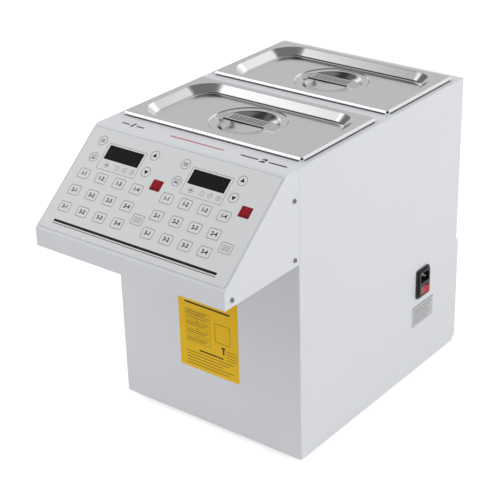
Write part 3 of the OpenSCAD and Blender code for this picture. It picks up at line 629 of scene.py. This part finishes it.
class DISPENSER_OT_cabinet(bpy.types.Operator):
    """Finish the cabinet's and the hood's coated sheets"""

    bl_idname = "dispenser.cabinet"
    bl_label = "Cabinet and hood"

    def execute(self, context):
        settings = context.scene.dispenser_cabinet
        white = powder_coat("powder_coat_white", settings.powder)
        for node in ("cabinet_shell", "top_deck", "hood_shell", "hood_floor", "back_panel",
                     "service_cover"):
            softened(node, white, "cabinet", settings.edge)
        dress(galvanised("galvanised_sheet"), "base_tray")
        dress(moulded_plastic("black_rubber", (0.03, 0.03, 0.03), 0.7, 500.0), "rubber_feet")
        # Painted shade: the screws take a darker steel that stands for the shade in their cross
        # recesses.
        dress(satin_steel("screw_steel", (0.30, 0.30, 0.31), 2, 0.3), "screws")
        return {"FINISHED"}


class DISPENSER_OT_lids(bpy.types.Operator):
    """Press the two lids with their recess, round step and hand bowl"""

    bl_idname = "dispenser.lids"
    bl_label = "Lids and pans"

    def execute(self, context):
        s = context.scene.dispenser_lids
        steel = satin_steel("satin_steel", s.steel, 0, 0.14)
        for body in ("front_lid", "rear_lid"):
            self.press(body, s, steel)
            strap = f"{body}_handle"
            # Painted shade: the strap takes a darker copy of the lids' steel, so that it reads darker
            # than the lid.
            softened(strap, strap_steel(strap, shade(s.steel, 0.88)), body, 0.15 * MM)
            self.weld_spots(strap, body)
        for pan in ("front_pan", "rear_pan"):
            dress(pan_steel(pan, s.steel), pan)
        return {"FINISHED"}

    @staticmethod
    def press(body, s, steel):
        low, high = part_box(body)
        middle = Vector(((low.x + high.x) / 2, (low.y + high.y) / 2, high.z))
        half = ((high.x - low.x) / 2, (high.y - low.y) / 2)
        steps = 15
        bm = bmesh.new()

        def outline(inset, height):
            return rounded_loop(bm, (half[0] - inset, half[1] - inset),
                                s.corner_radius - inset, height, steps)

        # The lip: a small bend at the flat's edge, then a wall that flares outward.
        bend, flare = s.rim_radius / 3, math.radians(52)
        loops = [outline(0, -s.lip), outline(0, 0.25 * MM - s.lip),
                 outline(0.12 * MM, 0.5 * MM - s.lip)]
        for k in range(7):
            t = flare * (1 - k / 6)
            loops.append(outline(s.rim_radius - bend * math.sin(t), bend * (math.cos(t) - 1)
                                 - 0.02 * MM))
        loops.append(outline(s.rim_radius + 0.4 * MM, 0))

        mouth = (half[0] - s.side_rim, half[1] - s.long_rim)
        for run, height in DISPENSER_OT_lids.wall(s):
            loops.append(rounded_loop(bm, (mouth[0] - run, mouth[1] - run),
                                      s.recess_radius - run, height, steps))

        def disc(radius, height):
            return rounded_loop(bm, (radius, radius), 0.998 * radius, height, steps)

        floor = -s.recess_depth - 0.04 * MM
        loops += [disc(s.ring + grow * MM, floor - drop * s.ring_step)
                  for grow, drop in ((1.0, 0), (0.3, 0.01), (-0.1, 0.1), (-0.9, 0.5), (-1.7, 0.9),
                                     (-2.1, 0.99), (-2.8, 1.0))]
        ledge = floor - s.ring_step - 0.02 * MM
        sphere = (s.bowl ** 2 + s.bowl_depth ** 2) / (2 * s.bowl_depth)
        rim_angle = math.asin(s.bowl / sphere)
        loops.append(disc(s.bowl + 1.6 * MM, ledge))
        loops.append(disc(s.bowl + 0.9 * MM, ledge - 0.05 * MM))
        for k in range(24):
            t = rim_angle * (1 - k / 24)
            depth = s.bowl_depth - sphere * (1 - math.cos(t))
            blend = 0.25 * MM if k == 0 else 0.0
            loops.append(disc(sphere * math.sin(t), ledge - depth - blend))
        skin(bm, loops)
        bmesh.ops.contextual_create(bm, geom=loops[-1])
        # The lip is cut away at each corner, where the folds meet.
        corner = []
        for face in bm.faces:
            at = face.calc_center_median()
            if (math.hypot(abs(at.x) - half[0], abs(at.y) - half[1]) < s.notch
                    and at.z < -1.5 * s.sheet):
                corner.append(face)
        bmesh.ops.delete(bm, geom=corner, context="FACES")
        bmesh.ops.translate(bm, vec=middle, verts=bm.verts)
        piece = facing_up(f"{body}_pressing", bm, steel, body, 50)
        wall = piece.modifiers.new("sheet", "SOLIDIFY")
        wall.thickness = s.sheet
        wall.offset = -1
        weighted = piece.modifiers.new("flats", "WEIGHTED_NORMAL")
        weighted.keep_sharp = True
        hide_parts(body)

    @staticmethod
    def wall(s):
        """Steps of the recess's wall: a rounded edge, a slope and a fillet at the foot."""
        radii = s.edge_radius + s.foot_radius
        fall = s.recess_depth - radii
        straight = math.sqrt(s.wall_run ** 2 + fall ** 2 - radii ** 2)
        slope = math.atan2(fall, s.wall_run) + math.atan2(radii, straight)
        # No two loops share a height, so that each bridge knows which way it runs.
        steps = [(-0.5 * MM, -0.04 * MM)]
        for k in range(8):
            t = slope * k / 7
            steps.append((s.edge_radius * math.sin(t),
                          -s.edge_radius * (1 - math.cos(t)) - 0.06 * MM))
        for k in range(13):
            t = slope * (1 - k / 12)
            steps.append((s.wall_run - s.foot_radius * math.sin(t),
                          s.foot_radius * (1 - math.cos(t)) - s.recess_depth))
        steps.append((s.wall_run + 0.6 * MM, -s.recess_depth - 0.02 * MM))
        return steps

    @staticmethod
    def weld_spots(strap, body):
        """Small round marks where the strap is welded down."""
        low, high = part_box(strap)
        bm = bmesh.new()
        for x in (low.x + 4 * MM, high.x - 4 * MM):
            for y in (low.y + 5 * MM, high.y - 5 * MM):
                ring_line(bm, 1.5 * MM, 0.35 * MM, (x, y), 16)
        strap_sheet = 1.2 * MM
        printed(f"{strap}_welds", bm, Matrix.Translation((0, 0, low.z + strap_sheet)),
                satin_steel(f"{strap}_weld_steel", (0.35, 0.33, 0.31), 0, 0.4), body)


class DISPENSER_OT_keypads(bpy.types.Operator):
    """Print the two keypads: outlines, numerals, arrows and displays"""

    bl_idname = "dispenser.keypads"
    bl_label = "Keypads"

    def execute(self, context):
        s = context.scene.dispenser_keypads
        film = printed_film("overlay_film", s.film)
        softened("control_overlay", film, "cabinet", 0.12 * MM, 1)
        cap = printed_film("key_film", s.cap, 0.36)
        red = printed_film("red_key_film", s.power, 0.4, 0.08)
        line_ink = ink("grey_ink", s.outline)
        black = ink("black_ink", (0.012, 0.012, 0.013))
        wine = ink("wine_ink", [c * 0.6 for c in s.power])
        rose = ink("rose_ink", (0.42, 0.022, 0.042))
        dress(smoked_window("smoked_window"), "display_windows")
        inks = {"power": (rose, wine), "auto": (line_ink, line_ink)}
        for side in SIDES:
            for name in ALL_KEYS:
                node = f"{side}_key_{name}"
                dress(red if name == "power" else cap, node)
                self.mark(node, name, s, *inks.get(name, (black, line_ink)))
        self.panel_prints(s, line_ink, black)
        return {"FINISHED"}

    @staticmethod
    def mark(node, name, s, dark, line_ink):
        """Prints a key's outline and its numeral or symbol on its cap."""
        low, high = face_box(node)
        place = FACE @ Matrix.Translation(((low.x + high.x) / 2, (low.y + high.y) / 2, high.z))
        half = ((high.x - low.x) / 2, (high.y - low.y) / 2)
        bm = bmesh.new()
        if name in ROUND_KEYS:
            ring_line(bm, half[0] - 0.05 * MM, s.line)
        elif name == "power":
            patch(bm, (7.4 * MM, 1.5 * MM), 0.3 * MM, at=(0, -5.4 * MM))
        else:
            frame_line(bm, (half[0] - 0.05 * MM, half[1] - 0.05 * MM), 2.4 * MM, s.line)
        printed(f"{node}_outline", bm, place, line_ink, node)
        bm = bmesh.new()
        if name in GRID_KEYS:
            lettering(bm, f"{name[0]}-{name[1]}", s.numeral, (0, 0), 0.92, 0.32 * MM)
        elif name in ("up", "down"):
            polygon_patch(bm, 4.2 * MM, 3, turn=0.0 if name == "up" else math.pi)
        elif name == "set":
            for row in (-1, 0, 1):
                patch(bm, (4.0 * MM, 0.45 * MM), at=(0, row * 2.1 * MM))
        elif name == "save":
            frame_line(bm, (3.8 * MM, 3.2 * MM), 0.5 * MM, 0.7 * MM)
            patch(bm, (1.9 * MM, 0.8 * MM), at=(0, -1.0 * MM))
        elif name == "power":
            ring_line(bm, 4.6 * MM, 0.9 * MM, (0, 1.6 * MM))
            patch(bm, (0.45 * MM, 2.6 * MM), at=(0, 4.2 * MM))
        else:
            for row in range(4):
                patch(bm, (6.6 * MM, 0.42 * MM), 0.2 * MM, at=(0, (row - 1.5) * 2.4 * MM))
        printed(f"{node}_mark", bm, place, dark, node)

    def panel_prints(self, s, line_ink, black):
        """Prints on the overlay itself, and the displays' unlit digits."""
        top = face_box("control_overlay")[1].z
        fine = s.line * 0.8
        lines, symbols, digits = bmesh.new(), bmesh.new(), bmesh.new()
        for side in SIDES:
            first = face_centre(f"{side}_key_11")
            middle = (first[0] + DISPLAY_FRAME[0] * MM, first[1] + DISPLAY_FRAME[1] * MM)
            frame_line(lines, (35.8 * MM, 21.3 * MM), 1.2 * MM, fine, middle)
            for index, x in enumerate(LAMPS_ACROSS):
                at = (first[0] + x * MM, first[1] + LAMPS_UP * MM)
                ring_line(lines, 3.9 * MM, fine, at)
                if index == 0:
                    polygon_patch(symbols, 1.5 * MM, 16, at)
                    for tick in (-6.0, -4.6, 4.6, 6.0):
                        patch(lines, (0.5 * MM, 0.3 * MM), at=(at[0] + tick * MM, at[1]))
                elif index == 1:
                    patch(lines, (0.25 * MM, 1.4 * MM), at=at)
                elif index == 2:
                    ring_line(lines, 1.8 * MM, 0.4 * MM, at)
                else:
                    patch(symbols, (0.45 * MM, 1.7 * MM), at=at, turn=-0.3)
            self.digits(digits, (first[0] + DIGITS[0] * MM, first[1] + DIGITS[1] * MM))
        # A thin line along the overlay's edge is painted shade at the sheet's raised edge, and a
        # plain double rule stands along its foot.
        low, high = face_box("control_overlay")
        inset = 0.4 * MM
        frame_line(lines, ((high.x - low.x) / 2 - inset, (high.y - low.y) / 2 - inset), 3.6 * MM,
                   0.35 * MM, face_centre("control_overlay"))
        rule_half = 147 * MM
        patch(symbols, (rule_half, 1.9 * MM), 0.6 * MM, at=(0, low.y + 15.5 * MM))
        patch(symbols, (rule_half, 0.5 * MM), at=(0, low.y + 11.2 * MM))
        place = FACE @ Matrix.Translation((0, 0, top))
        printed("panel_outlines", lines, place, line_ink, "cabinet")
        printed("panel_symbols", symbols, place, black, "cabinet")
        window_top = face_box("display_windows")[1].z
        unlit = ink("unlit_segments", (0.0075, 0.0065, 0.006), 0.35)
        printed("display_digits", digits, FACE @ Matrix.Translation((0, 0, window_top)), unlit,
                "cabinet", PRINT / 2)

    @staticmethod
    def digits(bm, centre):
        """Four unlit seven-segment digits with their points."""
        for column in range(4):
            x = centre[0] + (column - 1.5) * DIGIT_PITCH * MM - 1.0 * MM
            for row in (-1, 0, 1):
                patch(bm, (3.0 * MM, 0.75 * MM), 0.5 * MM,
                      at=(x, centre[1] + row * DIGIT_HALF_H * MM), steps=1)
            for across in (-1, 1):
                for row in (-1, 1):
                    patch(bm, (0.75 * MM, 2.7 * MM), 0.5 * MM,
                          at=(x + across * DIGIT_HALF_W * MM,
                              centre[1] + row * DIGIT_HALF_H / 2 * MM), steps=1)
            polygon_patch(bm, 0.9 * MM, 12, (x + 6.6 * MM, centre[1] - DIGIT_HALF_H * MM))


class DISPENSER_OT_labels(bpy.types.Operator):
    """Lay the labels and the deck's markings, in generic form"""

    bl_idname = "dispenser.labels"
    bl_label = "Labels and markings"

    def execute(self, context):
        s = context.scene.dispenser_labels
        black = ink("label_ink", (0.02, 0.02, 0.02))
        self.front_label(s, black)
        self.side_plate(s)
        self.deck_marks(black)
        return {"FINISHED"}

    @staticmethod
    def front_label(s, black):
        """A yellow sticker under the hood, with plain boxes and lines."""
        place = (Matrix.Translation((CABINET_MIDDLE_X, CABINET_LOW.y - 0.02 * MM, CABINET_LOW.z))
                 @ Matrix.Rotation(math.pi / 2, 4, "X"))
        low_z, high_z = 90 * MM, 225 * MM
        middle = (2.5 * MM, (low_z + high_z) / 2)
        half = (56.5 * MM, (high_z - low_z) / 2)
        yellow = printed_film("yellow_sticker", s.yellow, 0.5, 0.2)
        bm = bmesh.new()
        patch(bm, half, 2 * MM, at=middle)
        printed("front_sticker", bm, place, yellow, "cabinet", STICKER)
        bm = bmesh.new()
        # The print starts just below the hood's lip.
        left, top = middle[0] - half[0], 204 * MM
        patch(bm, (43 * MM, 1.4 * MM), 0.3 * MM, at=(middle[0] - 1 * MM, top - 2.2 * MM))
        fine = bmesh.new()
        # Boxes of lines, joined by dots: how far down, half their height and their lines.
        boxes = ((17.6, 4.1, 2), (26.2, 3.6, 1), (36.6, 4.6, 2), (50.3, 5.4, 2), (63.8, 5.2, 2))
        for row, (down, tall, lines) in enumerate(boxes):
            frame_line(fine, (23.7 * MM, tall * MM), 0.6 * MM, 0.5 * MM,
                       (left + 36 * MM, top - down * MM))
            for line in range(lines):
                shorter, lower = line * 3 * MM, 3.4 * (line - (lines - 1) / 2)
                patch(fine, (20 * MM - shorter, 0.6 * MM),
                      at=(left + 35 * MM - shorter, top - (down + lower) * MM))
            if row:
                polygon_patch(bm, 1.1 * MM, 12, (left + 36 * MM, top - (down - tall - 0.8) * MM))
        frame_line(fine, (14.5 * MM, 16 * MM), 1 * MM, 0.8 * MM, (left + 83.5 * MM, top - 39 * MM))
        patch(bm, (3.6 * MM, 1.5 * MM), 0.3 * MM, at=(left + 84 * MM, top - 62 * MM))
        patch(bm, (1.3 * MM, 5.0 * MM), 0.3 * MM, at=(left + 84.6 * MM, top - 68 * MM))
        for line in range(4):
            patch(fine, (10 * MM, 0.5 * MM), at=(left + 99 * MM, top - (65 + 5 * line) * MM))
        patch(bm, (23 * MM, 1.2 * MM), 0.3 * MM, at=(left + 61 * MM, top - 80 * MM))
        for line in range(5):
            shorter = (line % 3) * 5 * MM
            patch(fine, (45 * MM - shorter, 0.6 * MM),
                  at=(left + 58 * MM - shorter, top - (86 + 5.2 * line) * MM))
        place = place @ Matrix.Translation((0, 0, STICKER))
        printed("front_sticker_lines", fine, place, ink("fine_ink", (0.20, 0.13, 0.02)), "cabinet")
        printed("front_sticker_print", bm, place, black, "cabinet")

    @staticmethod
    def side_plate(s):
        """A metal plate on the right wall, with faint plain lines."""
        place = (Matrix.Translation((CABINET_HIGH.x, CABINET_LOW.y, CABINET_LOW.z))
                 @ Matrix.Rotation(math.pi / 2, 4, "Z") @ Matrix.Rotation(math.pi / 2, 4, "X"))
        middle = (333.5 * MM, 100 * MM)
        half = (31.5 * MM, 18 * MM)
        bm = bmesh.new()
        patch(bm, half, 1.5 * MM, at=middle)
        printed("side_plate", bm, place, satin_steel("plate_foil", s.foil, 1, 0.38), "cabinet", PLATE)
        bm = bmesh.new()
        patch(bm, (half[0], 0.7 * MM), at=(middle[0], middle[1] + half[1] - 0.9 * MM))
        for line in range(6):
            shorter = (line % 3) * 3 * MM
            patch(bm, (half[0] - 5 * MM - shorter, 0.6 * MM),
                  at=(middle[0] - shorter, middle[1] + 11 * MM - 4.6 * line * MM))
        printed("side_plate_print", bm, place @ Matrix.Translation((0, 0, PLATE)),
                ink("plate_ink", (0.24, 0.24, 0.25)), "cabinet")

    @staticmethod
    def deck_marks(black):
        """Plain pan numbers between rules, and a red line, on the deck's front edge."""
        place = Matrix.Translation((CABINET_MIDDLE_X, CABINET_LOW.y, DECK_TOP))
        bm = bmesh.new()
        row_y = -4 * MM
        for numeral, x in (("1", -119), ("2", 116)):
            lettering(bm, numeral, 17 * MM, (x * MM, row_y), 1.2, 0.7 * MM)
        for x, half_l in ((-105, 7), (-133, 7), (92, 15), (140, 15)):
            patch(bm, (half_l * MM, 1.7 * MM), at=(x * MM, row_y))
        printed("deck_numbers", bm, place, black, "cabinet")
        bm = bmesh.new()
        patch(bm, (48 * MM, 1.4 * MM), 0.5 * MM, at=(0, -4.5 * MM))
        printed("deck_red_line", bm, place, ink("red_ink", (0.50, 0.03, 0.05)), "cabinet")


class DISPENSER_OT_power(bpy.types.Operator):
    """Finish the mains inlet and its rocker"""

    bl_idname = "dispenser.power"
    bl_label = "Mains inlet"

    def execute(self, context):
        piece = softened("power_inlet", inlet_body("inlet_black"), "cabinet", 0.3 * MM)
        piece.modifiers["edges"].harden_normals = False
        dress(clear_red("clear_red", (0.55, 0.01, 0.015)), "inlet_rocker")
        return {"FINISHED"}


class DISPENSER_OT_workings(bpy.types.Operator):
    """Finish the pumps, hoses, nozzles, boards and power supply"""

    bl_idname = "dispenser.workings"
    bl_label = "Workings"

    def execute(self, context):
        dress(satin_steel("pump_metal", (0.45, 0.45, 0.47), 2, 0.4), "pump_units")
        dress(silicone("milky_silicone"), "syrup_hoses")
        dress(moulded_plastic("nozzle_black", (0.03, 0.03, 0.032)), "nozzles")
        dress(moulded_plastic("board_green", (0.02, 0.14, 0.06), 0.5, 400.0), "control_boards")
        dress(galvanised("supply_case"), "power_supply")
        return {"FINISHED"}


class DISPENSER_OT_stage(bpy.types.Operator):
    """Set the camera, the pale floor and the soft studio light"""

    bl_idname = "dispenser.stage"
    bl_label = "Studio"

    def execute(self, context):
        s = context.scene.dispenser_stage
        context.scene.view_settings.view_transform = "Standard"
        self.camera(context.scene, s)
        self.floor()
        self.world(context.scene, s)
        centre = Vector((0, 0, 0.3))
        self.lamp("overhead", s.overhead, (0.2, 0.3, 2.6), centre, (2.2, 2.2))
        self.lamp("right", s.side, (2.6, 0.7, 1.5), centre, (1.6, 1.6))
        self.lamp("front", s.front, (-1.6, -0.8, 1.4), centre, (0.9, 0.9))
        return {"FINISHED"}

    @staticmethod
    def camera(scene, s):
        ahead = Vector((-math.sin(s.azimuth) * math.cos(s.elevation),
                        math.cos(s.azimuth) * math.cos(s.elevation), -math.sin(s.elevation)))
        across = Vector((math.cos(s.azimuth), math.sin(s.azimuth), 0))
        upward = across.cross(ahead)
        c, k = math.cos(s.roll), math.sin(s.roll)
        right, up = across * c + upward * k, upward * c - across * k
        data = bpy.data.cameras.new("camera")
        data.sensor_width = 36
        data.lens = s.lens
        data.clip_start, data.clip_end = 0.05, 50
        camera = bpy.data.objects.new("camera", data)
        scene.collection.objects.link(camera)
        turn = Matrix((right, up, -ahead)).transposed()
        camera.matrix_world = Matrix.Translation(s.camera_place) @ turn.to_4x4()
        scene.camera = camera

    @staticmethod
    def floor():
        """A pale floor that looks white to the camera and keeps the shadow."""
        bm = bmesh.new()
        bmesh.ops.create_circle(bm, cap_ends=True, segments=64, radius=6.0)
        mesh = bpy.data.meshes.new("studio_floor")
        bm.to_mesh(mesh)
        bm.free()
        floor = bpy.data.objects.new("studio_floor", mesh)
        bpy.context.scene.collection.objects.link(floor)
        floor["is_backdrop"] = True
        f = Finish("floor_white", roughness=0.9, Specular_IOR_Level=0.0)
        tone = f.noise(3.0, 2.0)["Fac"]
        f.set(Base_Color=f.mix(tone, (0.80, 0.80, 0.80, 1), (0.82, 0.82, 0.82, 1)))
        seen = f.node("ShaderNodeLightPath")
        glow = f.node("ShaderNodeEmission", None, (1, 1, 1, 1), seen["Is Camera Ray"] * 0.6
                      + seen["Is Glossy Ray"] * 0.25)
        output = f.tree.nodes["Material Output"]
        both = f.node("ShaderNodeAddShader", None, Socket(f, f.shader.outputs[0]), glow)
        f.feed(output.inputs["Surface"], both)
        mesh.materials.append(f.material)

    @staticmethod
    def world(scene, s):
        """White all round, with the darker and brighter patches that the steel and coat reflect."""
        world = bpy.data.worlds.new("studio")
        world.use_nodes = True
        scene.world = world
        # The world has no shader of its own, so only the node helpers are used.
        f = Finish.__new__(Finish)
        f.tree = world.node_tree
        background = f.tree.nodes["Background"]
        direction = f.node("ShaderNodeTexCoord")["Generated"]

        def patch_of_sky(toward, outer, inner):
            near = f.node("ShaderNodeVectorMath", {"operation": "DOT_PRODUCT"}, direction,
                          Vector(toward).normalized())["Value"]
            return f.node("ShaderNodeMapRange", {"interpolation_type": "SMOOTHSTEP"}, Value=near,
                          From_Min=math.cos(math.radians(outer)),
                          From_Max=math.cos(math.radians(inner)))

        around = s.world
        # Each patch: its direction, the angles where it starts and is full, and its change.
        for toward, outer, inner, change in (
                ((-0.56, 0.70, 0.42), 40, 20, -s.wall),
                ((0.0, 0.14, 0.99), 43, 31, -s.ceiling),
                ((-0.56, 0.24, 0.79), 22, 12, -0.8),
                ((-0.74, 0.52, 0.43), 9, 4, 0.8),
                ((-0.86, 0.10, 0.50), 20, 12, -0.8),
                ((0.55, -0.82, 0.10), 65, 30, -0.5),
                ((-0.62, -0.42, 0.70), 30, 20, s.boxes),
                ((0.03, 0.92, 0.39), 20, 12, s.boxes),
                ((0.36, 0.72, 0.60), 22, 14, 0.05)):
            around = (patch_of_sky(toward, outer, inner) * change + 1) * around
        path = f.node("ShaderNodeLightPath")
        seen = f.node("ShaderNodeMath", {"operation": "MAXIMUM"}, path["Is Camera Ray"],
                      path["Is Transmission Ray"])
        f.feed(background.inputs["Color"], (1.0, 1.0, 1.0, 1.0))
        f.feed(background.inputs["Strength"], seen + (1 - seen) * around)

    @staticmethod
    def lamp(name, power, place, target, size):
        data = bpy.data.lights.new(name, "AREA")
        data.shape = "RECTANGLE"
        data.size, data.size_y = size
        data.energy = power
        lamp = bpy.data.objects.new(name, data)
        bpy.context.scene.collection.objects.link(lamp)
        lamp.location = place
        lamp.rotation_euler = (target - Vector(place)).to_track_quat("-Z", "Y").to_euler()
        lamp.visible_glossy = False
        lamp.visible_camera = False


class DISPENSER_PT_panel(bpy.types.Panel):
    """Lists the dispenser's pieces and the studio"""

    bl_label = "Syrup dispenser"
    bl_idname = "DISPENSER_PT_panel"
    bl_space_type = "VIEW_3D"
    bl_region_type = "UI"
    bl_category = "Dispenser"

    def draw(self, context):
        for operator in OPERATORS:
            self.layout.operator(operator.bl_idname)


SETTINGS = {
    "dispenser_cabinet": CabinetSettings,
    "dispenser_lids": LidSettings,
    "dispenser_keypads": KeypadSettings,
    "dispenser_labels": LabelSettings,
    "dispenser_stage": StageSettings,
}
OPERATORS = (DISPENSER_OT_cabinet, DISPENSER_OT_lids, DISPENSER_OT_keypads, DISPENSER_OT_labels,
             DISPENSER_OT_power, DISPENSER_OT_workings, DISPENSER_OT_stage)


def register():
    for cls in (*SETTINGS.values(), *OPERATORS, DISPENSER_PT_panel):
        bpy.utils.register_class(cls)
    for name, cls in SETTINGS.items():
        setattr(bpy.types.Scene, name, bpy.props.PointerProperty(type=cls))


def unregister():
    for name in SETTINGS:
        delattr(bpy.types.Scene, name)
    for cls in reversed((*SETTINGS.values(), *OPERATORS, DISPENSER_PT_panel)):
        bpy.utils.unregister_class(cls)


def main():
    register()
    for operator in OPERATORS:
        group, action = operator.bl_idname.split(".")
        getattr(getattr(bpy.ops, group), action)()
    low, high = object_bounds()
    {"cad": [list(CAD_BOX[0]), list(CAD_BOX[1])], "visual": [list(low), list(high)]}


if __name__ == "__main__":
    main()
